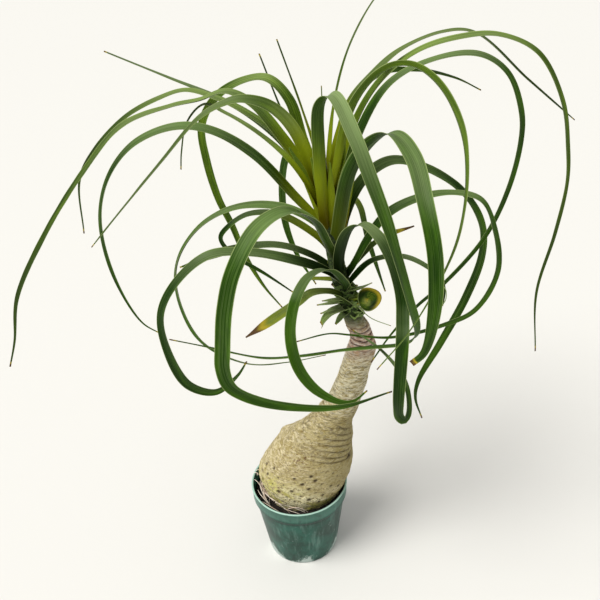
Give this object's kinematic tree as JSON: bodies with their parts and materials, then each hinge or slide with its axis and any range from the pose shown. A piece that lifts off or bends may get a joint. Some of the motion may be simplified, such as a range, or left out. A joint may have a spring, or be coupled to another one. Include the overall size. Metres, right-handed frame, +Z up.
{
  "type": "potted ponytail palm",
  "caption": "Ponytail palm with a swollen leaning stem, bare ringed neck and a loose crown of long strap leaves that arch and hang, in a small plastic nursery pot.",
  "frame": {"origin": "centre of the pot's underside, which stands on the floor", "axes": "+Z up; +X to the viewer's right as the plant is seen from its front, the side to which the stem leans; +Y away from the front"},
  "size_m": [0.5803, 0.304, 0.5918],
  "materials": {
    "pot_plastic": "faded satin nursery-pot plastic with limescale marks",
    "soil": null,
    "bark": "dry tan corky bark with fine rings",
    "foliage": null,
    "dry_foliage": null
  },
  "bodies": {
    "root": {"nursery_pot": "pot_plastic", "swollen_stem": "bark", "potting_soil": "soil", "curled_leaf": "dry_foliage", "leaf_left_1": "foliage", "leaf_left_2": "foliage", "leaf_left_3": "foliage", "leaf_left_4": "foliage", "leaf_left_5": "foliage", "leaf_left_6": "foliage", "leaf_left_7": "foliage", "leaf_left_8": "foliage", "leaf_left_9": "foliage", "leaf_left_10": "foliage", "leaf_left_11": "foliage", "leaf_front_1": "foliage", "leaf_front_2": "foliage", "leaf_front_3": "foliage", "leaf_front_4": "foliage", "leaf_front_5": "foliage", "leaf_right_1": "foliage", "leaf_right_2": "foliage", "leaf_right_3": "foliage", "leaf_right_4": "foliage", "leaf_right_5": "foliage", "leaf_right_6": "foliage", "leaf_right_7": "foliage", "leaf_right_8": "foliage", "leaf_right_9": "foliage", "leaf_back_1": "foliage", "leaf_back_2": "foliage", "leaf_back_3": "foliage", "leaf_back_4": "foliage", "leaf_back_5": "foliage", "leaf_back_6": "foliage", "leaf_heart_1": "foliage"}
  },
  "joints": []
}
